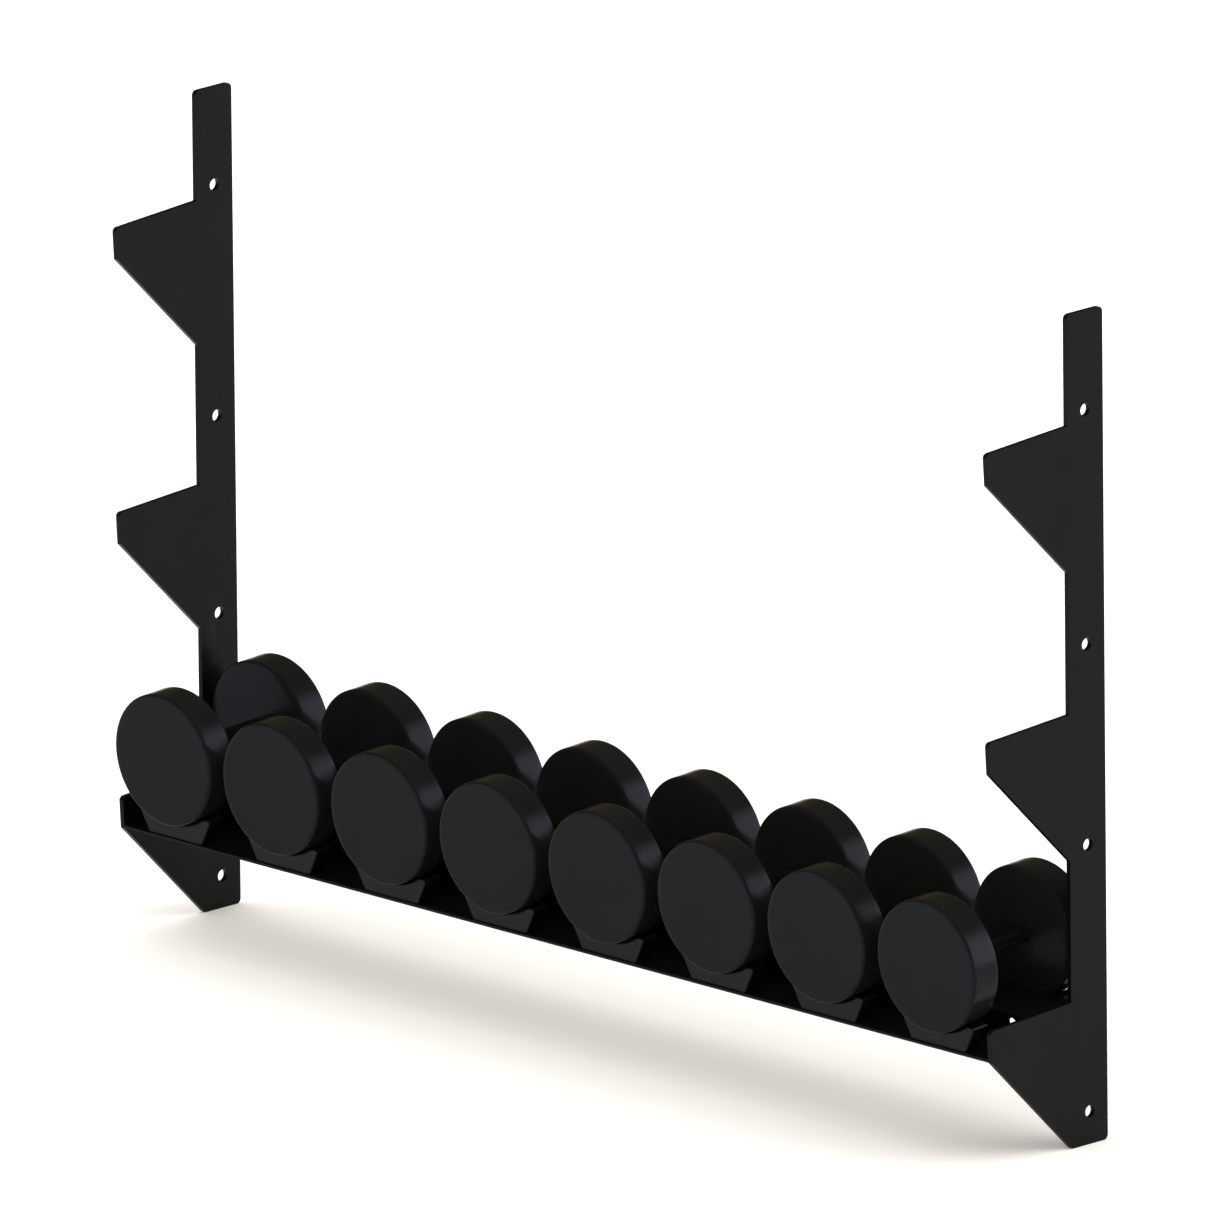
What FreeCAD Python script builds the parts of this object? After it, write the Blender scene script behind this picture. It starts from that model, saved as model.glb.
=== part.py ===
import FreeCAD, Part
import os
import Sketcher

# Dumbbell rack for bolting between two rig uprights: two flat side plates with
# three arms each, one folded shelf welded across the lowest arms, and round
# dumbbells standing in pairs of moulded saddles.
#
# Row frame: X along the rack, +Y to the back, +Z up. The origin is the middle
# of the whole object's footprint, at the height of the plates' lower ends.
#
# Shelf frame, which all that stands on the shelf shares: its origin is where
# the top edge of the lowest arm meets the upright's front edge, v runs to the
# back along that edge, which falls to the front, and w is square to it.

DUMBBELL_COUNT = 8
ARM_COUNT = 3

# Millimetres and degrees; each row is a spreadsheet alias and its value.
SIZES = {
    # side plates
    "plate_thickness": 8,
    "upright_depth": 73,
    "low_arm_height": 219,
    "arm_pitch": 431,
    "top_margin": 166,
    "arm_tilt": 3.3,
    "arm_nose": 48,
    "arm_slant": 45,
    "arm_tip_radius": 7,
    "plate_corner_radius": 8,
    "slant_foot_radius": 10,
    # bolt holes in each upright
    "bolt_hole_diameter": 18.5,
    "low_hole_height": 49,
    "low_hole_spacing": 400,
    "top_hole_drop": 148,
    "top_hole_spacing": 350,
    # dumbbells
    "head_diameter": 200,
    "head_width": 50,
    "head_gap": 26,
    "end_gap": 4.5,
    "rim_radius": 4,
    "cover_wall": 6,
    "core_clearance": 0.1,
    "grip_length": 147,
    "grip_diameter": 29,
    "spigot_diameter": 24,
    "spigot_length": 34,
    "spigot_end_gap": 1,
    "spigot_clearance": 0.2,
    "back_gap": 4.4,
    # how the heads sit in their saddles
    "head_sink": 19.5,
    "seat_clearance": 0.3,
    # saddles
    "saddle_setback": 17.7,
    "saddle_depth": 30,
    "saddle_top_width": 152,
    "saddle_foot_width": 110,
    "saddle_top_drop": 3,
    "saddle_shoulder_radius": 4,
    "saddle_lead_in": 6,
    "saddle_edge_radius": 2,
    # folded shelf
    "shelf_thickness": 4,
    "bend_radius": 2,
    "shelf_lip": 3.1,
    "shelf_back_gap": 2,
    "front_web_clearance": 46.6,
    "rear_web_clearance": 6,
    "web_hole_diameter": 16,
    "web_hole_drop": 15,
    "web_hole_inset": 29,
    # shelf welds
    "weld_leg": 5,
    "weld_length": 45,
    # saddle screws
    "screw_spacing": 72,
    "screw_diameter": 6,
    "screw_length": 16,
    "screw_head_diameter": 10.5,
    "screw_head_height": 3.3,
    "screw_socket_width": 4,
    "screw_socket_depth": 2,
    "screw_hole_clearance": 0.3,
    "thread_clearance": 0.05,
    "washer_diameter": 14,
    "washer_thickness": 1.6,
    "insert_diameter": 9,
    "insert_length": 12,
    "insert_bore_depth": 14,
}


def size(name):
    """The text that an expression uses for one cell of the sheet."""
    return "dims." + name


# Expressions that several sub-parts share.
TILT = size("arm_tilt")
COS = "cos(%s)" % TILT
SIN = "sin(%s)" % TILT
HEAD_RADIUS = "(dims.head_diameter / 2)"
PITCH = "(dims.head_diameter + dims.head_gap)"
PLATE_PITCH = ("(%d * %s + dims.head_diameter + 2 * dims.end_gap + dims.plate_thickness)"
               % (DUMBBELL_COUNT - 1, PITCH))
HEIGHT = "(dims.low_arm_height + %d * dims.arm_pitch + dims.top_margin)" % (ARM_COUNT - 1)
AXIS_RISE = "(%s - dims.head_sink)" % HEAD_RADIUS
DUMBBELL_LENGTH = "(dims.grip_length + 2 * dims.head_width)"
FLOOR_DEPTH = "(dims.arm_nose - dims.shelf_thickness)"

# The flat land on top of a saddle, each side of its cradle. Its fillets are held
# to shares of it that leave some of it flat.
SEAT_RADIUS = "(%s + dims.seat_clearance)" % HEAD_RADIUS
LAND = ("(dims.saddle_top_width / 2 - sqrt(%s ^ 2 - (%s + dims.saddle_top_drop) ^ 2))"
        % (SEAT_RADIUS, AXIS_RISE))

# v of the rear heads' outer faces: their lowest rim points stay back_gap inside
# the plates' back edges.
HEADS_BACK = ("(dims.rim_radius + (dims.upright_depth - dims.back_gap - dims.rim_radius"
              " - (dims.head_sink - dims.rim_radius) * %s) / %s)" % (SIN, COS))
HEADS_FRONT = "(%s - %s)" % (HEADS_BACK, DUMBBELL_LENGTH)
DUMBBELL_MIDDLE = "(%s - %s / 2)" % (HEADS_BACK, DUMBBELL_LENGTH)

# v of the saddles, the shelf and the arm tips, all set from the heads.
FRONT_SADDLE = "(%s + dims.saddle_setback + dims.saddle_depth / 2)" % HEADS_FRONT
REAR_SADDLE = "(%s - dims.saddle_setback - dims.saddle_depth / 2)" % HEADS_BACK
SHELF_FRONT = "(%s + dims.saddle_setback - dims.shelf_lip)" % HEADS_FRONT
SHELF_BACK = "((dims.upright_depth - dims.shelf_back_gap - dims.arm_nose * %s) / %s)" % (SIN, COS)
DECK_FRONT = "(%s + dims.saddle_depth / 2 + dims.front_web_clearance)" % FRONT_SADDLE
DECK_BACK = "(%s - dims.saddle_depth / 2 - dims.rear_web_clearance)" % REAR_SADDLE
ARM_REACH = "(-%s * %s)" % (SHELF_FRONT, COS)

# Half the whole depth, from the foremost point of the front rims or arm tips to
# the plates' back edges, puts the origin in the middle of the footprint.
RIM_REACH = ("(dims.upright_depth + (2 * %s - dims.head_sink - dims.rim_radius) * %s"
             " - (%s + dims.rim_radius) * %s + dims.rim_radius)"
             % (HEAD_RADIUS, SIN, HEADS_FRONT, COS))
BACK_Y = "(max(%s; dims.upright_depth + %s) / 2)" % (RIM_REACH, ARM_REACH)

doc = FreeCAD.newDocument("dumbbell_rack")
parts = []


def make_sheet():
    sheet = doc.addObject("Spreadsheet::Sheet", "dims")
    for row, (name, value) in enumerate(SIZES.items(), start=1):
        cell = "A%d" % row
        sheet.set(cell, str(value))
        sheet.setAlias(cell, name)
    doc.recompute()


def value(expression):
    """The number that an expression stands for, read through the sheet."""
    return float(doc.dims.evalExpression(expression))


# ---------------------------------------------------------------- small helpers

def make_body(label):
    body = doc.addObject("PartDesign::Body", label)
    body.Label = label
    parts.append(body)
    return body


def make_sketch(body, role, offset="0"):
    """An empty sketch on one of the body's origin planes, moved along its normal."""
    plane = [item for item in body.Origin.OriginFeatures if item.Role == role][0]
    sketch = body.newObject("Sketcher::SketchObject", body.Label + "_sketch")
    sketch.AttachmentSupport = [(plane, "")]
    sketch.MapMode = "FlatFace"
    sketch.setExpression(".AttachmentOffset.Base.z", offset)
    return sketch


def bind(sketch, kind, geometry, point, expression):
    """Hold one coordinate of a point, from the sketch's origin, to an expression."""
    number = sketch.addConstraint(Sketcher.Constraint(kind, -1, 1, geometry, point, value(expression)))
    sketch.setExpression("Constraints[%d]" % number, expression)


def draw_polygon(sketch, corners):
    """A closed outline; each corner is a pair of expressions."""
    spots = [FreeCAD.Vector(value(across), value(up), 0) for across, up in corners]
    first = sketch.GeometryCount
    count = len(corners)
    for index in range(count):
        line = Part.LineSegment(spots[index], spots[(index + 1) % count])
        sketch.addGeometry(line, False)
    for index in range(count):
        after = first + (index + 1) % count
        sketch.addConstraint(Sketcher.Constraint("Coincident", first + index, 2, after, 1))
    for index, (across, up) in enumerate(corners):
        bind(sketch, "DistanceX", first + index, 1, across)
        bind(sketch, "DistanceY", first + index, 1, up)


def draw_circle(sketch, diameter, across="0", up="0"):
    centre = FreeCAD.Vector(value(across), value(up), 0)
    axis = FreeCAD.Vector(0, 0, 1)
    circle = sketch.addGeometry(Part.Circle(centre, axis, value(diameter) / 2), False)
    number = sketch.addConstraint(Sketcher.Constraint("Diameter", circle, value(diameter)))
    sketch.setExpression("Constraints[%d]" % number, diameter)
    bind(sketch, "DistanceX", circle, 3, across)
    bind(sketch, "DistanceY", circle, 3, up)


def draw_hexagon(sketch, width):
    """A hexagon about the sketch's origin, given across its flats."""
    corners = []
    for step in range(6):
        angle = 60 * step
        corners.append(("%s / sqrt(3) * cos(%d)" % (width, angle),
                        "%s / sqrt(3) * sin(%d)" % (width, angle)))
    draw_polygon(sketch, corners)


def finish_feature(body, feature):
    body.Tip = feature
    doc.recompute()
    return feature


def pad(body, sketch, length, both_sides=False, backwards=False):
    feature = body.newObject("PartDesign::Pad", body.Label + "_pad")
    feature.Profile = sketch
    feature.Midplane = both_sides
    feature.Reversed = backwards
    feature.setExpression("Length", length)
    return finish_feature(body, feature)


def pocket(body, sketch, depth, both_sides=False, backwards=False):
    """Cut a sketch into the body, and make sure that it took something away."""
    doc.recompute()
    before = body.Shape.Volume
    feature = body.newObject("PartDesign::Pocket", body.Label + "_pocket")
    feature.Profile = sketch
    feature.Midplane = both_sides
    feature.Reversed = backwards
    feature.setExpression("Length", depth)
    finish_feature(body, feature)
    if not body.Shape.Volume < before:
        raise RuntimeError(body.Label + ": a pocket cut nothing")
    return feature


def revolve_about_y(body, sketch):
    feature = body.newObject("PartDesign::Revolution", body.Label + "_revolution")
    feature.Profile = sketch
    axis = [item for item in body.Origin.OriginFeatures if item.Role == "Y_Axis"][0]
    feature.ReferenceAxis = (axis, [""])
    feature.Angle = 360
    return finish_feature(body, feature)


def round_edges(body, radius, chosen):
    """Fillet the edges that the test picks."""
    names = []
    for number, edge in enumerate(body.Shape.Edges, start=1):
        if chosen(edge):
            names.append("Edge%d" % number)
    if not names:
        raise RuntimeError(body.Label + ": no edge to round")
    base = body.Tip
    feature = body.newObject("PartDesign::Fillet", body.Label + "_fillet")
    feature.Base = (base, names)
    feature.setExpression("Radius", radius)
    return finish_feature(body, feature)


def runs_along_x_at(spots):
    """A test for straight edges along X that pass through the given (Y, Z) spots."""
    places = [(value(across), value(up)) for across, up in spots]

    def chosen(edge):
        middle = edge.BoundBox.Center
        if edge.BoundBox.YLength > 0.01 or edge.BoundBox.ZLength > 0.01:
            return False
        return any(abs(middle.y - y) < 0.05 and abs(middle.z - z) < 0.05 for y, z in places)

    return chosen


def is_arc(edge, radius):
    """Whether an edge is a circle, or a part of one, of that radius."""
    return isinstance(edge.Curve, Part.Circle) and abs(edge.Curve.Radius - value(radius)) < 0.01


def put_in_row_frame(body, x):
    body.setExpression("Placement.Base.x", x)
    body.setExpression("Placement.Base.y", BACK_Y)
    doc.recompute()


def put_on_shelf(body, x, v="0", w="0"):
    """Stand a body in the shelf frame, tilted with the arms."""
    body.Placement = FreeCAD.Placement(FreeCAD.Vector(), FreeCAD.Rotation(FreeCAD.Vector(1, 0, 0), 1))
    y = "%s - dims.upright_depth + %s * %s - %s * %s" % (BACK_Y, v, COS, w, SIN)
    z = "dims.low_arm_height + %s * %s + %s * %s" % (v, SIN, w, COS)
    body.setExpression("Placement.Base.x", x)
    body.setExpression("Placement.Base.y", y)
    body.setExpression("Placement.Base.z", z)
    body.setExpression("Placement.Rotation.Angle", TILT)
    doc.recompute()


def station_x(station):
    """X of one dumbbell, counted from 1 at the left end."""
    return "(%s * %s)" % (station - (DUMBBELL_COUNT + 1) / 2, PITCH)


# ------------------------------------------------------------------ side plates

def arm_corners(arm):
    """Root, tip, nose and lower root of one arm, counted from 0 at the lowest."""
    front = "(-dims.upright_depth)"
    root = "(dims.low_arm_height + %d * dims.arm_pitch)" % arm
    tip = ("(%s - %s)" % (front, ARM_REACH), "(%s - %s * tan(%s))" % (root, ARM_REACH, TILT))
    nose = ("(%s + dims.arm_nose * %s)" % (tip[0], SIN), "(%s - dims.arm_nose * %s)" % (tip[1], COS))
    if arm == 0:
        foot = ("(%s + %s / tan(dims.arm_slant))" % nose, "0")
    else:
        run = "(%s - %s)" % (front, nose[0])
        foot = (front, "(%s - %s * tan(dims.arm_slant))" % (nose[1], run))
    return [(front, root), tip, nose, foot]


def hole_heights():
    top = "(%s - dims.top_hole_drop)" % HEIGHT
    return [
        size("low_hole_height"),
        "(dims.low_hole_height + dims.low_hole_spacing)",
        "(%s - dims.top_hole_spacing)" % top,
        top,
    ]


def make_side_plate(label, side):
    """A flat plate, laser-cut in one piece with its three arms and four bolt holes."""
    body = make_body(label)
    arms = [arm_corners(arm) for arm in reversed(range(ARM_COUNT))]
    top_front = ("(-dims.upright_depth)", HEIGHT)
    corners = [("0", "0"), ("0", HEIGHT), top_front]
    for arm in arms:
        corners += arm
    outline = make_sketch(body, "YZ_Plane")
    draw_polygon(outline, corners)
    pad(body, outline, size("plate_thickness"), both_sides=True)

    holes = make_sketch(body, "YZ_Plane")
    for height in hole_heights():
        draw_circle(holes, size("bolt_hole_diameter"), "(-dims.upright_depth / 2)", height)
    pocket(body, holes, "2 * dims.plate_thickness", both_sides=True)

    round_edges(body, size("plate_corner_radius"),
                runs_along_x_at([("0", "0"), ("0", HEIGHT), top_front]))
    round_edges(body, size("arm_tip_radius"), runs_along_x_at([arm[1] for arm in arms]))
    round_edges(body, size("slant_foot_radius"), runs_along_x_at([arms[-1][3]]))
    put_in_row_frame(body, "%d * %s / 2" % (side, PLATE_PITCH))


# ------------------------------------------------------------------------ shelf

def shelf_corners():
    """The folded sheet's section: floor, web, deck, web, floor."""
    thick = size("shelf_thickness")
    floor_top = "(-%s)" % FLOOR_DEPTH
    floor_under = "(-dims.arm_nose)"
    deck_under = "(-%s)" % thick
    return {
        "front_top": (SHELF_FRONT, floor_top),
        "front_toe_in": (DECK_FRONT, floor_top),
        "front_deck": (DECK_FRONT, "0"),
        "back_deck": (DECK_BACK, "0"),
        "back_toe_in": (DECK_BACK, floor_top),
        "back_top": (SHELF_BACK, floor_top),
        "back_under": (SHELF_BACK, floor_under),
        "back_toe_out": ("(%s - %s)" % (DECK_BACK, thick), floor_under),
        "back_deck_under": ("(%s - %s)" % (DECK_BACK, thick), deck_under),
        "front_deck_under": ("(%s + %s)" % (DECK_FRONT, thick), deck_under),
        "front_toe_out": ("(%s + %s)" % (DECK_FRONT, thick), floor_under),
        "front_under": (SHELF_FRONT, floor_under),
    }


def repeat_for_screws(body, features):
    """Repeat features for both screws of every saddle, front and rear."""
    repeat = body.newObject("PartDesign::MultiTransform", body.Label + "_repeat")
    repeat.Originals = features
    steps = [
        ("X_Axis", size("screw_spacing"), 2),
        ("X_Axis", "%s * %d" % (PITCH, DUMBBELL_COUNT - 1), DUMBBELL_COUNT),
        ("Y_Axis", "%s - %s" % (REAR_SADDLE, FRONT_SADDLE), 2),
    ]
    rows = []
    for role, length, count in steps:
        row = body.newObject("PartDesign::LinearPattern", body.Label + "_row")
        axis = [item for item in body.Origin.OriginFeatures if item.Role == role][0]
        row.Direction = (axis, [""])
        row.setExpression("Length", length)
        row.Occurrences = count
        rows.append(row)
    repeat.Transformations = rows
    return finish_feature(body, repeat)


def first_screw_x():
    return "(%s - dims.screw_spacing / 2)" % station_x(1)


def make_shelf():
    body = make_body("shelf")
    span = "(%s - dims.plate_thickness)" % PLATE_PITCH
    corners = shelf_corners()
    section = make_sketch(body, "YZ_Plane")
    draw_polygon(section, list(corners.values()))
    pad(body, section, span, both_sides=True)

    inside = ["front_toe_in", "back_toe_in", "front_deck_under", "back_deck_under"]
    outside = ["front_toe_out", "back_toe_out", "front_deck", "back_deck"]
    outer_radius = "dims.bend_radius + dims.shelf_thickness"
    round_edges(body, size("bend_radius"), runs_along_x_at([corners[name] for name in inside]))
    round_edges(body, outer_radius, runs_along_x_at([corners[name] for name in outside]))

    web_holes = make_sketch(body, "XZ_Plane", "-" + DECK_FRONT)
    for side in (-1, 1):
        across = "%d * (%s / 2 - dims.web_hole_inset)" % (side, span)
        draw_circle(web_holes, size("web_hole_diameter"), across, "(-dims.web_hole_drop)")
    pocket(body, web_holes, "2 * dims.shelf_thickness", both_sides=True)

    screw_hole = make_sketch(body, "XY_Plane", "-dims.arm_nose")
    clear_hole = "(dims.screw_diameter + 2 * dims.screw_hole_clearance)"
    draw_circle(screw_hole, clear_hole, first_screw_x(), FRONT_SADDLE)
    cut = pocket(body, screw_hole, "3 * dims.shelf_thickness", both_sides=True)
    repeat_for_screws(body, [cut])
    put_on_shelf(body, "0")


def make_shelf_welds(label, side):
    """Three fillet welds under the shelf's end, along the plate's inner face."""
    body = make_body(label)
    half_width = "%s / 2 - dims.plate_thickness / 2" % PLATE_PITCH
    seams = [
        ("(%s + %s) / 2" % (SHELF_FRONT, DECK_FRONT), size("arm_nose")),
        ("(%s + %s) / 2" % (DECK_FRONT, DECK_BACK), size("shelf_thickness")),
        ("(%s + %s) / 2" % (DECK_BACK, SHELF_BACK), size("arm_nose")),
    ]
    for middle, depth in seams:
        section = make_sketch(body, "XZ_Plane", "-(%s)" % middle)
        draw_polygon(section, [
            ("0", "-" + depth),
            ("%d * dims.weld_leg" % -side, "-" + depth),
            ("0", "-%s - dims.weld_leg" % depth),
        ])
        pad(body, section, size("weld_length"), both_sides=True)
    put_on_shelf(body, "%d * (%s)" % (side, half_width))


# ---------------------------------------------------------------------- saddles

def make_saddle(label, station, v):
    """A moulded block with a cradle for one head; its origin is under its middle."""
    body = make_body(label)
    height = "(%s - dims.saddle_top_drop)" % FLOOR_DEPTH
    outline = make_sketch(body, "XZ_Plane")
    draw_polygon(outline, [
        ("(-dims.saddle_foot_width / 2)", "0"),
        ("(dims.saddle_foot_width / 2)", "0"),
        ("(dims.saddle_top_width / 2)", height),
        ("(-dims.saddle_top_width / 2)", height),
    ])
    pad(body, outline, size("saddle_depth"), both_sides=True)

    cradle = make_sketch(body, "XZ_Plane")
    draw_circle(cradle, "(2 * %s)" % SEAT_RADIUS, "0", "(%s + %s)" % (FLOOR_DEPTH, AXIS_RISE))
    pocket(body, cradle, "2 * dims.saddle_depth", both_sides=True)

    bores = make_sketch(body, "XY_Plane")
    for side in (-1, 1):
        draw_circle(bores, size("insert_diameter"), "%d * dims.screw_spacing / 2" % side)
    pocket(body, bores, size("insert_bore_depth"), backwards=True)

    level = value(height)
    half_width = value("dims.saddle_top_width / 2")

    def is_shoulder(edge):
        box = edge.BoundBox
        at_top = box.XLength < 0.01 and box.ZMin > level - 0.01
        return at_top and abs(box.Center.x) > half_width - 0.01

    def is_cradle_edge(edge):
        return edge.BoundBox.YLength < 0.01 and is_arc(edge, SEAT_RADIUS)

    def is_top_edge(edge):
        return edge.BoundBox.YLength < 0.01 and edge.BoundBox.ZMin > level - 0.01

    round_edges(body, "min(dims.saddle_shoulder_radius; 0.2 * %s)" % LAND, is_shoulder)
    round_edges(body, "min(dims.saddle_lead_in; 0.3 * %s)" % LAND, is_cradle_edge)
    round_edges(body, "min(dims.saddle_edge_radius; 0.1 * %s)" % LAND, is_top_edge)
    put_on_shelf(body, station_x(station), v, "(-%s)" % FLOOR_DEPTH)


# -------------------------------------------------------------- saddle fasteners

def put_at_first_screw(body, w):
    put_on_shelf(body, first_screw_x(), FRONT_SADDLE, w)


def make_saddle_screws():
    """Button-head screws with hexagon sockets, up through the floor of the shelf."""
    body = make_body("saddle_screws")
    shank = make_sketch(body, "XY_Plane")
    draw_circle(shank, size("screw_diameter"))
    shank_pad = pad(body, shank, size("screw_length"))
    head = make_sketch(body, "XY_Plane")
    draw_circle(head, size("screw_head_diameter"))
    head_pad = pad(body, head, size("screw_head_height"), backwards=True)
    socket = make_sketch(body, "XY_Plane", "-dims.screw_head_height")
    draw_hexagon(socket, size("screw_socket_width"))
    cut = pocket(body, socket, size("screw_socket_depth"), backwards=True)
    repeat_for_screws(body, [shank_pad, head_pad, cut])
    put_at_first_screw(body, "(-dims.arm_nose - dims.washer_thickness)")


def make_saddle_washers():
    body = make_body("saddle_washers")
    ring = make_sketch(body, "XY_Plane")
    draw_circle(ring, size("washer_diameter"))
    draw_circle(ring, "(dims.screw_diameter + 2 * dims.screw_hole_clearance)")
    repeat_for_screws(body, [pad(body, ring, size("washer_thickness"), backwards=True)])
    put_at_first_screw(body, "(-dims.arm_nose)")


def make_saddle_inserts():
    """Threaded inserts moulded into the saddles' undersides."""
    body = make_body("saddle_inserts")
    ring = make_sketch(body, "XY_Plane")
    draw_circle(ring, size("insert_diameter"))
    draw_circle(ring, "(dims.screw_diameter + 2 * dims.thread_clearance)")
    repeat_for_screws(body, [pad(body, ring, size("insert_length"))])
    put_at_first_screw(body, "(-%s)" % FLOOR_DEPTH)


# -------------------------------------------------------------------- dumbbells

def put_at_station(body, station):
    """Place a dumbbell's piece; its origin is the middle of the handle."""
    put_on_shelf(body, station_x(station), DUMBBELL_MIDDLE, AXIS_RISE)


def make_handle(label, station):
    """A steel bar: a grip between the heads and a spigot into each of them."""
    body = make_body(label)
    grip_end = "(dims.grip_length / 2)"
    spigot_end = "(dims.grip_length / 2 + dims.spigot_length)"
    grip = "(dims.grip_diameter / 2)"
    spigot = "(dims.spigot_diameter / 2)"
    profile = make_sketch(body, "YZ_Plane")
    draw_polygon(profile, [
        ("-" + spigot_end, "0"),
        ("-" + spigot_end, spigot),
        ("-" + grip_end, spigot),
        ("-" + grip_end, grip),
        (grip_end, grip),
        (grip_end, spigot),
        (spigot_end, spigot),
        (spigot_end, "0"),
    ])
    revolve_about_y(body, profile)
    put_at_station(body, station)


def make_core(body, side):
    """One iron core, with a blind bore for the spigot on its inner side."""
    inner = "%d * (dims.grip_length / 2 + dims.cover_wall)" % side
    outer = "%d * (dims.grip_length / 2 + dims.head_width - dims.cover_wall)" % side
    bore_end = "%d * (dims.grip_length / 2 + dims.spigot_length + dims.spigot_end_gap)" % side
    radius = "(%s - dims.cover_wall - dims.core_clearance)" % HEAD_RADIUS
    profile = make_sketch(body, "YZ_Plane")
    draw_polygon(profile, [
        (outer, "0"),
        (outer, radius),
        (inner, radius),
        (inner, "(dims.spigot_diameter / 2)"),
        (bore_end, "(dims.spigot_diameter / 2)"),
        (bore_end, "0"),
    ])
    revolve_about_y(body, profile)


def make_cores(label, station):
    body = make_body(label)
    for side in (-1, 1):
        make_core(body, side)
    put_at_station(body, station)


def make_cover(label, station, side):
    """The moulded cover round one core, open only where the handle goes in."""
    body = make_body(label)
    inner = "%d * dims.grip_length / 2" % side
    outer = "%d * (dims.grip_length / 2 + dims.head_width)" % side
    inner_wall = "%d * (dims.grip_length / 2 + dims.cover_wall)" % side
    outer_wall = "%d * (dims.grip_length / 2 + dims.head_width - dims.cover_wall)" % side
    cavity = "(%s - dims.cover_wall)" % HEAD_RADIUS
    mouth = "(dims.spigot_diameter / 2 + dims.spigot_clearance)"
    profile = make_sketch(body, "YZ_Plane")
    draw_polygon(profile, [
        (outer, "0"),
        (outer, HEAD_RADIUS),
        (inner, HEAD_RADIUS),
        (inner, mouth),
        (inner_wall, mouth),
        (inner_wall, cavity),
        (outer_wall, cavity),
        (outer_wall, "0"),
    ])
    revolve_about_y(body, profile)
    round_edges(body, size("rim_radius"), lambda edge: is_arc(edge, HEAD_RADIUS))
    put_at_station(body, station)


# ------------------------------------------------------------------ whole object

def make_rack():
    make_side_plate("left_side_plate", -1)
    make_side_plate("right_side_plate", 1)
    make_shelf()
    make_shelf_welds("left_shelf_welds", -1)
    make_shelf_welds("right_shelf_welds", 1)
    for station in range(1, DUMBBELL_COUNT + 1):
        make_saddle("front_saddle_%d" % station, station, FRONT_SADDLE)
        make_saddle("rear_saddle_%d" % station, station, REAR_SADDLE)
    make_saddle_screws()
    make_saddle_washers()
    make_saddle_inserts()


def make_dumbbells():
    for station in range(1, DUMBBELL_COUNT + 1):
        name = "dumbbell_%d_" % station
        make_handle(name + "handle", station)
        make_cores(name + "cores", station)
        make_cover(name + "front_cover", station, -1)
        make_cover(name + "rear_cover", station, 1)


def check_document():
    for item in doc.Objects:
        if "Invalid" in item.State or "Error" in item.State:
            raise RuntimeError("%s: %s" % (item.Label, item.State))
    for body in parts:
        if body.Shape.isNull() or not body.Shape.isValid():
            raise RuntimeError(body.Label + ": its shape is not valid")


def export_parts():
    os.makedirs("parts", exist_ok=True)
    for body in parts:
        body.Shape.exportStep("parts/%s.step" % body.Label)


make_sheet()
make_rack()
make_dumbbells()
doc.recompute()
check_document()
export_parts()
print("wrote %d sub-parts" % len(parts))
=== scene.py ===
import math

import bmesh
import bpy
from mathutils import Matrix, Vector


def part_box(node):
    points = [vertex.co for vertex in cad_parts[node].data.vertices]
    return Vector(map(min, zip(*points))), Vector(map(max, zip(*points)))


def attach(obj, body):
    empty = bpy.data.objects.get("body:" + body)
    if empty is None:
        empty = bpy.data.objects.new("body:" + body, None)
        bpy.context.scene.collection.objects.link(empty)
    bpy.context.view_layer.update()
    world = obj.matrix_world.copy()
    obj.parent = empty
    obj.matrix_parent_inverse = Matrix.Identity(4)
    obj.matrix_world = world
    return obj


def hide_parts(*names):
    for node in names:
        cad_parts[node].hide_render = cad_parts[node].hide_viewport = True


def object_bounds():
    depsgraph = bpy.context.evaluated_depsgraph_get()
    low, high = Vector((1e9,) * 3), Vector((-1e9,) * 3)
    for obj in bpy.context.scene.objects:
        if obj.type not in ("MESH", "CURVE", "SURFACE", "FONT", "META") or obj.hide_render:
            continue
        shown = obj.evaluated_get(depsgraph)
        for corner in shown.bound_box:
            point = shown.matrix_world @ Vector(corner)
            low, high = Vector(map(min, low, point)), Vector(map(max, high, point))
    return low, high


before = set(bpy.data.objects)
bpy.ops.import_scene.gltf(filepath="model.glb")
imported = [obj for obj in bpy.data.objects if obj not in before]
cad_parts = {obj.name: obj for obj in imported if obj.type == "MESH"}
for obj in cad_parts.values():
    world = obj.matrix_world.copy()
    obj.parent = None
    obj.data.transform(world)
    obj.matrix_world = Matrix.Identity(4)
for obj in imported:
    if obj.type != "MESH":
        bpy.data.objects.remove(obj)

# The looks of a dumbbell rack that bolts into a gym rig: coated side plates and
# shelf, moulded saddles, and dumbbells with smooth black moulded heads.
# Metres throughout. +X runs along the row, +Y to the back and +Z up.

MM = 0.001
DUMBBELLS = range(1, 9)
CAD_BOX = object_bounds()


# ------------------------------------------------------------------ measuring CAD

def middle(node):
    """The middle of a CAD node's box, which is its centre where it is symmetric."""
    low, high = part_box(node)
    return (low + high) / 2


def span(node, direction):
    """How far a CAD node reaches along a direction, as its lowest and highest value."""
    reach = [vert.co.dot(direction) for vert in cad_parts[node].data.vertices]
    return min(reach), max(reach)


def islands(node):
    """The separate solids of a CAD node, each as a list of its corners."""
    bm = bmesh.new()
    bm.from_mesh(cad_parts[node].data)
    bmesh.ops.remove_doubles(bm, verts=bm.verts, dist=0.01 * MM)
    left = set(bm.verts)
    found = []
    while left:
        waiting = [left.pop()]
        corners = []
        while waiting:
            vert = waiting.pop()
            corners.append(vert.co.copy())
            for edge in vert.link_edges:
                other = edge.other_vert(vert)
                if other in left:
                    left.remove(other)
                    waiting.append(other)
        found.append(corners)
    bm.free()
    return found


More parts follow.
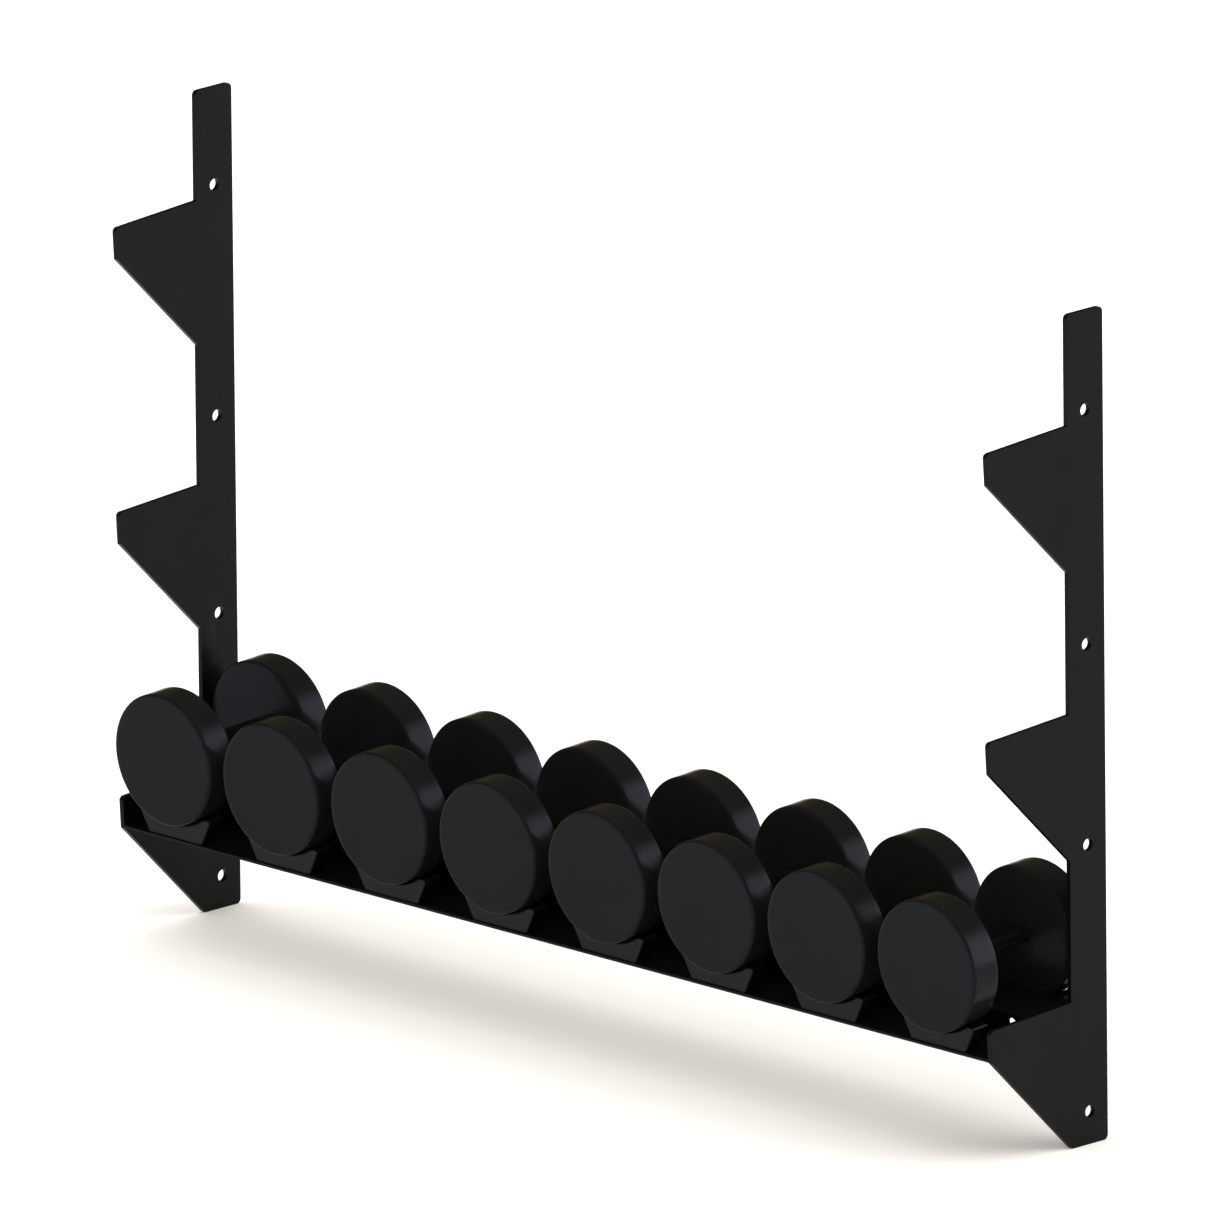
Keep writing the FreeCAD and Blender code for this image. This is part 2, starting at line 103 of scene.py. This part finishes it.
# The dumbbells' common direction falls a little to the front, as the shelf does.
AXIS = (middle("dumbbell_1_rear_cover") - middle("dumbbell_1_front_cover")).normalized()
TURN = Matrix.Rotation(math.atan2(AXIS.z, AXIS.y), 3, "X")
UP = TURN @ Vector((0, 0, 1))
SIDEWAYS = Vector((1, 0, 0))


# ------------------------------------------------------------------- mesh helpers

def add_object(name, bm):
    mesh = bpy.data.meshes.new(name)
    bm.normal_update()
    bm.to_mesh(mesh)
    bm.free()
    thing = bpy.data.objects.new(name, mesh)
    bpy.context.scene.collection.objects.link(thing)
    return thing


BEVEL_ANGLE = 35
SHARP_ANGLE = 30


def smooth_by_angle(thing, degrees):
    """Smooth shading, kept sharp where the faces turn by more than the angle."""
    thing.data.shade_smooth()
    thing.data.set_sharp_from_angle(angle=math.radians(degrees))


def apply_modifiers(thing):
    """Replace the object's mesh with what its modifiers make of it."""
    bpy.context.view_layer.update()
    seen = thing.evaluated_get(bpy.context.evaluated_depsgraph_get())
    mesh = bpy.data.meshes.new_from_object(seen)
    thing.modifiers.clear()
    thing.data = mesh


def finish_piece(thing, body, material, slot, *nodes):
    """Give a piece its material and its body, and hide the CAD nodes that it stands for."""
    thing.data.materials.clear()
    thing.data.materials.append(material)
    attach(thing, body)
    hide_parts(*nodes)


def softened_copy(name, node, width, segments=2):
    """A copy of a CAD node's mesh whose hard edges are rounded by a small bevel. The
    weighted normals keep its large flat faces evenly shaded up to the bevels."""
    bm = bmesh.new()
    bm.from_mesh(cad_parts[node].data)
    bmesh.ops.remove_doubles(bm, verts=bm.verts, dist=0.002 * MM)
    bmesh.ops.dissolve_limit(bm, angle_limit=math.radians(0.5), verts=bm.verts, edges=bm.edges)
    thing = add_object(name, bm)
    bevel = thing.modifiers.new("soft_edges", "BEVEL")
    bevel.width = width
    bevel.segments = segments
    bevel.limit_method = "ANGLE"
    bevel.angle_limit = math.radians(BEVEL_ANGLE)
    apply_modifiers(thing)
    smooth_by_angle(thing, SHARP_ANGLE)
    weighted = thing.modifiers.new("even_faces", "WEIGHTED_NORMAL")
    weighted.keep_sharp = True
    weighted.weight = 100
    apply_modifiers(thing)
    return thing


def turn_rings(bm, rings, steps, centre):
    """Closed rings about the dumbbells' direction. Each ring is its place along it
    and a function from the step round it to the radius there; a radius of None
    closes the end with one point. Between two knurled rings the faces are split
    so that their low corners join into grooves."""
    rows = []
    for along, radius, knurled in rings:
        if radius is None:
            rows.append(([bm.verts.new(centre + TURN @ Vector((0, along, 0)))], knurled))
            continue
        row = []
        for index in range(steps):
            angle = 2 * math.pi * index / steps
            size = radius(index)
            spot = Vector((size * math.cos(angle), along, size * math.sin(angle)))
            row.append(bm.verts.new(centre + TURN @ spot))
        rows.append((row, knurled))
    for number in range(len(rows) - 1):
        (one, knurled), (two, also_knurled) = rows[number], rows[number + 1]
        for index in range(steps):
            after = (index + 1) % steps
            corners = [one[index % len(one)], one[after % len(one)],
                       two[after % len(two)], two[index % len(two)]]
            corners = list(dict.fromkeys(corners))
            if knurled and also_knurled:
                if (index + number) % 2 == 0:
                    corners = corners[1:] + corners[:1]
                bm.faces.new((corners[0], corners[1], corners[3]))
                bm.faces.new((corners[1], corners[2], corners[3]))
            else:
                bm.faces.new(corners)


def plain(radius):
    """A ring of one radius all round."""
    return lambda index: radius


def ring(along, radius):
    return (along, plain(radius), False)


CORNER_STEPS = 6


def rounded_corner(along, radius, size, start):
    """Rings round a convex corner: a quarter arc about (along, radius), from an
    angle in degrees that is 0 along the axis and 90 outwards."""
    rings = []
    for index in range(CORNER_STEPS + 1):
        angle = math.radians(start + 90 * index / CORNER_STEPS)
        rings.append(ring(along + size * math.cos(angle), radius + size * math.sin(angle)))
    return rings


# ---------------------------------------------------------------------- materials

def new_material(name):
    material = bpy.data.materials.new(name)
    material.use_nodes = True
    nodes = material.node_tree.nodes
    return material, nodes, material.node_tree.links, nodes["Principled BSDF"]


def noise_node(nodes, links, scale, detail=4.0, roughness=0.55):
    """Noise in the object's own coordinates, so it stays with the piece."""
    where = nodes.new("ShaderNodeTexCoord")
    grain = nodes.new("ShaderNodeTexNoise")
    grain.inputs["Scale"].default_value = scale
    grain.inputs["Detail"].default_value = detail
    grain.inputs["Roughness"].default_value = roughness
    links.new(where.outputs["Object"], grain.inputs["Vector"])
    return grain


def spread(nodes, links, source, low, high, start=0.3, end=0.7):
    """Map a noise onto a range of values."""
    remap = nodes.new("ShaderNodeMapRange")
    remap.inputs["From Min"].default_value = start
    remap.inputs["From Max"].default_value = end
    remap.inputs["To Min"].default_value = low
    remap.inputs["To Max"].default_value = high
    links.new(source, remap.inputs["Value"])
    return remap.outputs["Result"]


def mixed_colour(nodes, links, factor, one, two):
    ramp = nodes.new("ShaderNodeValToRGB")
    ramp.color_ramp.elements[0].color = (*one, 1)
    ramp.color_ramp.elements[1].color = (*two, 1)
    links.new(factor, ramp.inputs["Fac"])
    return ramp.outputs["Color"]


def lightened_edges(nodes, links, colour, worn, amount):
    """Mix a worn colour in where the mesh is convex, broken up by noise."""
    geometry = nodes.new("ShaderNodeNewGeometry")
    convex = spread(nodes, links, geometry.outputs["Pointiness"], 0.0, amount, 0.52, 0.62)
    patches = noise_node(nodes, links, 60.0)
    broken = spread(nodes, links, patches.outputs["Fac"], 0.0, 1.0, 0.35, 0.65)
    both = nodes.new("ShaderNodeMath")
    both.operation = "MULTIPLY"
    links.new(convex, both.inputs[0])
    links.new(broken, both.inputs[1])
    mix = nodes.new("ShaderNodeMix")
    mix.data_type = "RGBA"
    mix.inputs["B"].default_value = (*worn, 1)
    links.new(both.outputs["Value"], mix.inputs["Factor"])
    links.new(colour, mix.inputs["A"])
    return mix.outputs["Result"]


def bump(nodes, links, shader, layers):
    """Stack bumps; each layer is a noise scale in 1/m, a depth in metres and a strength."""
    normal = None
    for scale, depth, strength in layers:
        grain = noise_node(nodes, links, scale)
        layer = nodes.new("ShaderNodeBump")
        layer.inputs["Distance"].default_value = depth
        layer.inputs["Strength"].default_value = strength
        links.new(grain.outputs["Fac"], layer.inputs["Height"])
        if normal:
            links.new(normal, layer.inputs["Normal"])
        normal = layer.outputs["Normal"]
    links.new(normal, shader.inputs["Normal"])


def surface(name, colours, worn, wear, roughness, patch_scale, bumps, metallic=0.0,
            specular=0.5, tint=(1.0, 1.0, 1.0)):
    """A material with mottled colour, patchy roughness, worn edges and layered bumps."""
    material, nodes, links, shader = new_material(name)
    patches = noise_node(nodes, links, patch_scale)
    factor = spread(nodes, links, patches.outputs["Fac"], 0.0, 1.0)
    colour = mixed_colour(nodes, links, factor, *colours)
    colour = lightened_edges(nodes, links, colour, worn, wear)
    links.new(colour, shader.inputs["Base Color"])
    smears = noise_node(nodes, links, patch_scale * 2.3, 6.0, 0.62)
    rough = spread(nodes, links, smears.outputs["Fac"], *roughness)
    links.new(rough, shader.inputs["Roughness"])
    shader.inputs["Metallic"].default_value = metallic
    shader.inputs["Specular IOR Level"].default_value = specular
    shader.inputs["Specular Tint"].default_value = (*tint, 1)
    bump(nodes, links, shader, bumps)
    return material


def powder_coat():
    """Satin black powder coat with its fine orange peel."""
    return surface("powder_coat", ((0.0019, 0.0019, 0.0019), (0.0026, 0.0026, 0.0025)),
                   (0.012, 0.012, 0.012), 0.4, (0.28, 0.38), 9.0,
                   [(700.0, 0.00008, 0.12), (2600.0, 0.00003, 0.08)], specular=0.078,
                   tint=(0.82, 0.87, 1.0))


def head_mould():
    """Smooth dark moulded heads, with faint smears from handling."""
    return surface("head_mould", ((0.0055, 0.0062, 0.0057), (0.0067, 0.0075, 0.0069)),
                   (0.02, 0.019, 0.018), 0.3, (0.17, 0.26), 14.0,
                   [(1800.0, 0.00003, 0.05)], specular=0.073, tint=(0.38, 0.45, 0.92))


def saddle_mould():
    """Moulded plastic with an even, fine grain."""
    return surface("saddle_mould", ((0.0019, 0.0020, 0.0022), (0.0026, 0.0027, 0.0030)),
                   (0.03, 0.03, 0.032), 0.5, (0.28, 0.38), 30.0,
                   [(1500.0, 0.00010, 0.12), (4200.0, 0.00004, 0.1)], specular=0.15,
                   tint=(0.68, 0.72, 1.0))


def dark_steel():
    """Black-coated steel of the handles, with bare metal showing at worn edges."""
    return surface("dark_steel", ((0.0026, 0.0025, 0.0023), (0.0040, 0.0038, 0.0036)),
                   (0.03, 0.029, 0.028), 0.5, (0.28, 0.38), 45.0,
                   [(900.0, 0.00004, 0.15), (4000.0, 0.00002, 0.1)], specular=0.06)


def black_oxide():
    """Oxide-blackened screws and washers."""
    return surface("black_oxide", ((0.035, 0.035, 0.037), (0.075, 0.074, 0.074)),
                   (0.22, 0.22, 0.22), 0.7, (0.32, 0.5), 120.0,
                   [(3000.0, 0.00003, 0.25)], metallic=1.0)


def turned_brass():
    return surface("turned_brass", ((0.55, 0.40, 0.17), (0.68, 0.51, 0.24)),
                   (0.8, 0.62, 0.32), 0.5, (0.25, 0.4), 120.0,
                   [(2500.0, 0.00003, 0.25)], metallic=1.0)


def cast_core():
    """Rough cast iron inside the heads."""
    return surface("cast_core", ((0.045, 0.043, 0.041), (0.085, 0.080, 0.076)),
                   (0.14, 0.13, 0.125), 0.5, (0.55, 0.75), 60.0,
                   [(160.0, 0.0006, 0.5), (900.0, 0.0002, 0.5)], metallic=0.6)


def coated_weld():
    """The same coat as the plates, over a rippled bead."""
    return surface("coated_weld", ((0.0022, 0.0022, 0.0022), (0.0036, 0.0036, 0.0035)),
                   (0.014, 0.014, 0.014), 0.5, (0.28, 0.40), 200.0,
                   [(2600.0, 0.00003, 0.2)], specular=0.2)


COAT = powder_coat()
HEAD = head_mould()
SADDLE = saddle_mould()
STEEL = dark_steel()
OXIDE = black_oxide()
BRASS = turned_brass()
CORE = cast_core()
WELD = coated_weld()


# --------------------------------------------------------------------------- rack

PLATE_EDGE = 0.7 * MM
SHELF_EDGE = 0.5 * MM
SADDLE_EDGE = 0.8 * MM
SCREW_EDGE = 0.9 * MM
WASHER_EDGE = 0.25 * MM


def make_plates():
    for side in ("left", "right"):
        node = side + "_side_plate"
        plate = softened_copy(side + "_plate", node, PLATE_EDGE, 3)
        finish_piece(plate, "rack", COAT, "plate", node)


def make_shelf():
    shelf = softened_copy("folded_shelf", "shelf", SHELF_EDGE)
    finish_piece(shelf, "rack", COAT, "shelf", "shelf")


RIPPLE = 1.6 * MM
RIPPLE_DEPTH = 0.10
RIPPLE_LAG = 0.7 * MM
BEAD_HOLLOW = 0.16
BEAD_END = 0.55
BEAD_STEPS = 8


def make_bead(bm, corners, side):
    """One fillet weld in the corner between the shelf's underside and a plate:
    overlapping ripples along the seam, with tapered ends. The ripples' depth, the
    hollow of the bead's face and the size of its ends are shares of its leg."""
    places = [(spot.dot(SIDEWAYS) * side, spot.dot(AXIS), spot.dot(UP)) for spot in corners]
    wall = max(place[0] for place in places)
    start = min(place[1] for place in places)
    end = max(place[1] for place in places)
    top = max(place[2] for place in places)
    leg = wall - min(place[0] for place in places)
    rows = round((end - start) / (RIPPLE / 5))
    grid = []
    for row in range(rows + 1):
        along = start + (end - start) * row / rows
        phase = (along / RIPPLE) % 1.0
        from_end = min(along - start, end - along)
        taper = min(1.0, BEAD_END + from_end / (2 * leg))
        line = []
        for column in range(BEAD_STEPS + 1):
            angle = math.pi / 2 * column / BEAD_STEPS
            swell = 1 - RIPPLE_DEPTH * phase - BEAD_HOLLOW * math.sin(2 * angle)
            size = leg * taper * swell
            lag = RIPPLE_LAG * math.sin(2 * angle)
            spot = (SIDEWAYS * side * (wall - size * math.cos(angle))
                    + AXIS * min(end, along + lag) + UP * (top - size * math.sin(angle)))
            line.append(bm.verts.new(spot))
        line.append(bm.verts.new(SIDEWAYS * side * wall + AXIS * along + UP * top))
        grid.append(line)
    width = BEAD_STEPS + 2
    for one, two in zip(grid, grid[1:]):
        for column in range(width):
            after = (column + 1) % width
            bm.faces.new((one[column], one[after], two[after], two[column]))
    bm.faces.new(grid[0])
    bm.faces.new(list(reversed(grid[-1])))


def make_welds():
    for side, sign in (("left", -1), ("right", 1)):
        node = side + "_shelf_welds"
        bm = bmesh.new()
        for corners in islands(node):
            make_bead(bm, corners, sign)
        bmesh.ops.recalc_face_normals(bm, faces=bm.faces)
        beads = add_object(side + "_weld_beads", bm)
        smooth_by_angle(beads, 50)
        finish_piece(beads, "rack", WELD, "weld", node)


def make_saddles():
    for number in DUMBBELLS:
        for place in ("front", "rear"):
            node = "%s_saddle_%d" % (place, number)
            block = softened_copy("%s_cradle_%d" % (place, number), node, SADDLE_EDGE)
            finish_piece(block, "rack", SADDLE, "saddle", node)


def make_fasteners():
    screws = softened_copy("button_screws", "saddle_screws", SCREW_EDGE, 3)
    finish_piece(screws, "rack", OXIDE, "screw", "saddle_screws")
    washers = softened_copy("flat_washers", "saddle_washers", WASHER_EDGE)
    finish_piece(washers, "rack", OXIDE, "screw", "saddle_washers")
    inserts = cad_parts["saddle_inserts"]
    inserts.data.materials.clear()
    inserts.data.materials.append(BRASS)


# ---------------------------------------------------------------------- dumbbells

RIM_RADIUS = 4 * MM
COVER_WALL = 6 * MM
SPIGOT_RADIUS = 12 * MM
SPIGOT_LENGTH = 34 * MM
MOUTH_GAP = 0.2 * MM
MOUTH_CHAMFER = 0.4 * MM
HEAD_STEPS = 192


def make_cover(number, place, outwards):
    """A head's moulded shell, open only at the handle. The rings run from the
    middle of its outer face round the rim to the mouth and back inside."""
    node = "dumbbell_%d_%s_cover" % (number, place)
    centre = middle(node)
    low, high = span(node, AXIS)
    half = (high - low) / 2
    side_low, side_high = span(node, SIDEWAYS)
    radius = (side_high - side_low) / 2
    shoulder = radius - RIM_RADIUS
    mouth = SPIGOT_RADIUS + MOUTH_GAP
    cavity = radius - COVER_WALL
    rings = [(half, None, False)]
    for share in (0.12, 0.35, 0.6, 0.8, 0.95):
        rings.append(ring(half, shoulder * share))
    rings += rounded_corner(half - RIM_RADIUS, shoulder, RIM_RADIUS, 0)
    for share in (0.6, 0.2, -0.2, -0.6):
        rings.append(ring((half - RIM_RADIUS) * share, radius))
    rings += rounded_corner(RIM_RADIUS - half, shoulder, RIM_RADIUS, 90)
    for share in (0.9, 0.7, 0.45):
        rings.append(ring(-half, shoulder * share))
    rings += [ring(-half, mouth + MOUTH_CHAMFER), ring(MOUTH_CHAMFER - half, mouth)]
    rings += [ring(COVER_WALL - half, mouth), ring(COVER_WALL - half, cavity)]
    rings += [ring(half - COVER_WALL, cavity), (half - COVER_WALL, None, False)]
    if outwards < 0:
        rings = [(-along, size, knurled) for along, size, knurled in rings]
    bm = bmesh.new()
    turn_rings(bm, rings, HEAD_STEPS, centre)
    bmesh.ops.recalc_face_normals(bm, faces=bm.faces)
    cover = add_object("dumbbell_%d_%s_head" % (number, place), bm)
    smooth_by_angle(cover, 35)
    finish_piece(cover, "dumbbell_%d" % number, HEAD, "head_cover", node)


KNURL_COUNT = 46
KNURL_DEPTH = 0.5 * MM
KNURL_MARGIN = 9 * MM
BAR_CHAMFER = 0.8 * MM
GROOVE = 0.6 * MM


def make_handle(number):
    """A steel bar: spigots, plain collars with a turned groove, a knurled grip."""
    node = "dumbbell_%d_handle" % number
    centre = middle(node)
    low, high = span(node, AXIS)
    spigot_end = (high - low) / 2
    grip_end = spigot_end - SPIGOT_LENGTH
    side_low, side_high = span(node, SIDEWAYS)
    radius = (side_high - side_low) / 2
    steps = 2 * KNURL_COUNT
    row_length = math.pi * radius / KNURL_COUNT
    knurl_end = grip_end - KNURL_MARGIN
    rows = 2 * round(knurl_end / row_length)

    def end_rings():
        return [
            (spigot_end, None, False),
            ring(spigot_end, SPIGOT_RADIUS - BAR_CHAMFER),
            ring(spigot_end - BAR_CHAMFER, SPIGOT_RADIUS),
            ring(grip_end, SPIGOT_RADIUS),
            ring(grip_end, radius - BAR_CHAMFER / 2),
            ring(grip_end - BAR_CHAMFER / 2, radius),
            ring(knurl_end + 4 * GROOVE, radius),
            ring(knurl_end + 3 * GROOVE, radius - GROOVE),
            ring(knurl_end + 2 * GROOVE, radius - GROOVE),
            ring(knurl_end + GROOVE, radius),
        ]

    rings = end_rings()
    for row in range(rows + 1):
        along = knurl_end - 2 * knurl_end * row / rows
        number_in_mesh = len(rings)

        def knurl(index, parity=number_in_mesh % 2):
            return radius - KNURL_DEPTH * (1 if (index + parity) % 2 == 0 else 0)

        rings.append((along, knurl, True))
    rings += [(-along, size, knurled) for along, size, knurled in reversed(end_rings())]
    bm = bmesh.new()
    turn_rings(bm, rings, steps, centre)
    bmesh.ops.recalc_face_normals(bm, faces=bm.faces)
    bar = add_object("dumbbell_%d_bar" % number, bm)
    smooth_by_angle(bar, 25)
    finish_piece(bar, "dumbbell_%d" % number, STEEL, "handle", node)


def make_dumbbells():
    for number in DUMBBELLS:
        make_handle(number)
        make_cover(number, "front", -1)
        make_cover(number, "rear", 1)
        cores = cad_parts["dumbbell_%d_cores" % number]
        cores.data.materials.clear()
        cores.data.materials.append(CORE)


# ------------------------------------------------------------------ studio, camera

FLOOR_REACH = 400


def make_floor():
    """A plain pale floor, far larger than the view."""
    bm = bmesh.new()
    bmesh.ops.create_grid(bm, x_segments=4, y_segments=4, size=FLOOR_REACH)
    floor = add_object("floor", bm)
    material, _, _, shader = new_material("pale_floor")
    shader.inputs["Base Color"].default_value = (0.95, 0.95, 0.95, 1)
    shader.inputs["Roughness"].default_value = 0.9
    shader.inputs["Specular IOR Level"].default_value = 0.1
    floor.data.materials.append(material)


def add_sun(name, direction, strength, degrees, colour):
    """A broad, soft light from far away; the direction points from it to the rack.
    Glossy rays don't see it, so the pieces mirror only the floor, walls and panel."""
    lamp = bpy.data.lights.new(name, "SUN")
    lamp.energy = strength
    lamp.angle = math.radians(degrees)
    lamp.color = colour
    thing = bpy.data.objects.new(name, lamp)
    thing.rotation_euler = Vector(direction).to_track_quat("-Z", "Y").to_euler()
    thing.visible_glossy = False
    bpy.context.scene.collection.objects.link(thing)


PANEL_DIRECTION = (0.71, 0.68, 0.20)
PANEL_COLOUR = (1.0, 1.0, 0.85, 1)
WALL_COLOUR = (0.0225, 0.0150, 0.0078, 1)
WORLD_STRENGTH = 5.7


def make_light():
    """A pale studio: a broad ceiling, dim warm walls and one bright panel to the
    back and right, which the rims of the heads mirror. What the camera itself sees
    past the floor is a plain white backdrop."""
    world = bpy.data.worlds.new("studio")
    world.use_nodes = True
    bpy.context.scene.world = world
    nodes = world.node_tree.nodes
    links = world.node_tree.links
    where = nodes.new("ShaderNodeTexCoord")
    facing = nodes.new("ShaderNodeVectorMath")
    facing.operation = "DOT_PRODUCT"
    facing.inputs[1].default_value = Vector(PANEL_DIRECTION).normalized()
    links.new(where.outputs["Generated"], facing.inputs[0])
    ramp = nodes.new("ShaderNodeValToRGB")
    links.new(facing.outputs["Value"], ramp.inputs["Fac"])
    links.new(ramp.outputs["Color"], nodes["Background"].inputs["Color"])
    backdrop = nodes.new("ShaderNodeBackground")
    backdrop.inputs["Color"].default_value = (1, 1, 1, 1)
    seen = nodes.new("ShaderNodeLightPath")
    either = nodes.new("ShaderNodeMixShader")
    links.new(seen.outputs["Is Camera Ray"], either.inputs["Fac"])
    links.new(nodes["Background"].outputs["Background"], either.inputs[1])
    links.new(backdrop.outputs["Background"], either.inputs[2])
    links.new(either.outputs["Shader"], nodes["World Output"].inputs["Surface"])
    wall, panel = ramp.color_ramp.elements
    wall.position = 0.86
    wall.color = WALL_COLOUR
    panel.position = 0.965
    panel.color = PANEL_COLOUR
    nodes["Background"].inputs["Strength"].default_value = WORLD_STRENGTH
    add_sun("ceiling", (0.0, 0.45, -1.0), 4.4, 150, (1.0, 0.99, 0.975))


def make_camera():
    """A long lens, so the lines of the rack stay nearly parallel. It is no longer
    than that, because the other views set their far clip by the rack's own size."""
    azimuth = math.radians(45.65)
    elevation = math.radians(15.6)
    roll = 0.0096
    distance = 75.0
    view_width = 1.7613
    target = Vector((0.0019, CAD_BOX[1][1] - 0.1199, 0.6478))
    across = Vector((math.cos(azimuth), math.sin(azimuth), 0))
    ahead = Vector((-math.sin(azimuth) * math.cos(elevation),
                    math.cos(azimuth) * math.cos(elevation), -math.sin(elevation)))
    upwards = across.cross(ahead)
    right = across * math.cos(roll) - upwards * math.sin(roll)
    top = across * math.sin(roll) + upwards * math.cos(roll)
    data = bpy.data.cameras.new("camera")
    data.sensor_width = 36.0
    data.lens = data.sensor_width * distance / view_width
    data.clip_start = 10.0
    data.clip_end = 2000.0
    camera = bpy.data.objects.new("camera", data)
    turn = Matrix((right, top, -ahead)).transposed().to_4x4()
    camera.matrix_world = Matrix.Translation(target - ahead * distance) @ turn
    bpy.context.scene.collection.objects.link(camera)
    bpy.context.scene.camera = camera


make_camera()
make_floor()
make_light()
make_plates()
make_shelf()
make_welds()
make_saddles()
make_fasteners()
make_dumbbells()
bpy.context.scene.view_settings.view_transform = "Standard"
